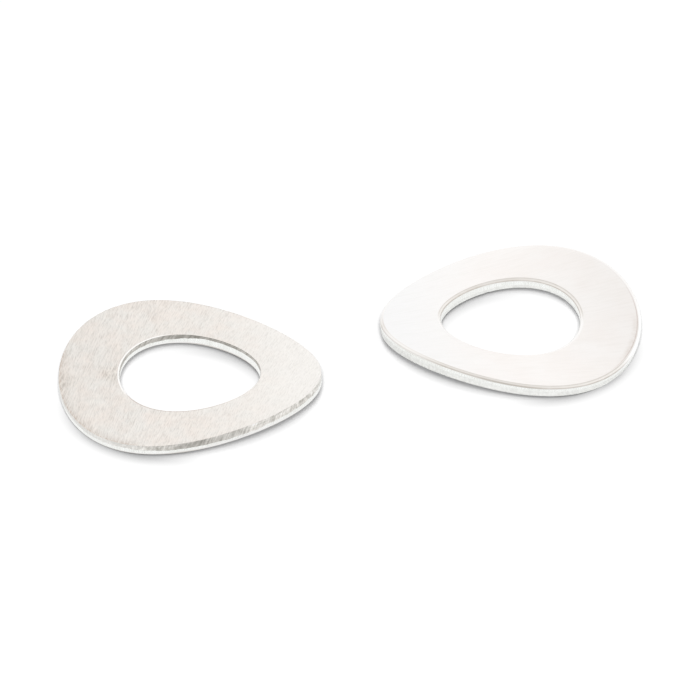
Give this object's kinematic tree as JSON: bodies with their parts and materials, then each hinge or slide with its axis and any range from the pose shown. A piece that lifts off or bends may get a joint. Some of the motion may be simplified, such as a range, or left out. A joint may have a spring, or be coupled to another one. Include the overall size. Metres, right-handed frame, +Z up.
{
  "type": "wave spring washer pair",
  "caption": "Stamped spring steel rings with a round bore, each pressed into a wavy saddle, that keep tension on a screwed joint.",
  "frame": {"origin": "on the surface that the washers lie on, midway between their two axes", "axes": "+Z up, along both bore axes; +X from the left washer's axis to the right washer's axis; +Y away from the picture's camera, which stands 18 degrees to the left of -Y"},
  "size_m": [0.0274, 0.012, 0.0017],
  "materials": {
    "spring_steel": "pale silvery spring steel strip with fine cross-grain scratches, smooth bright shear bands and rough torn bands on the stamped edges"
  },
  "bodies": {
    "root": {"left_washer": "spring_steel", "right_washer": "spring_steel"}
  },
  "joints": []
}
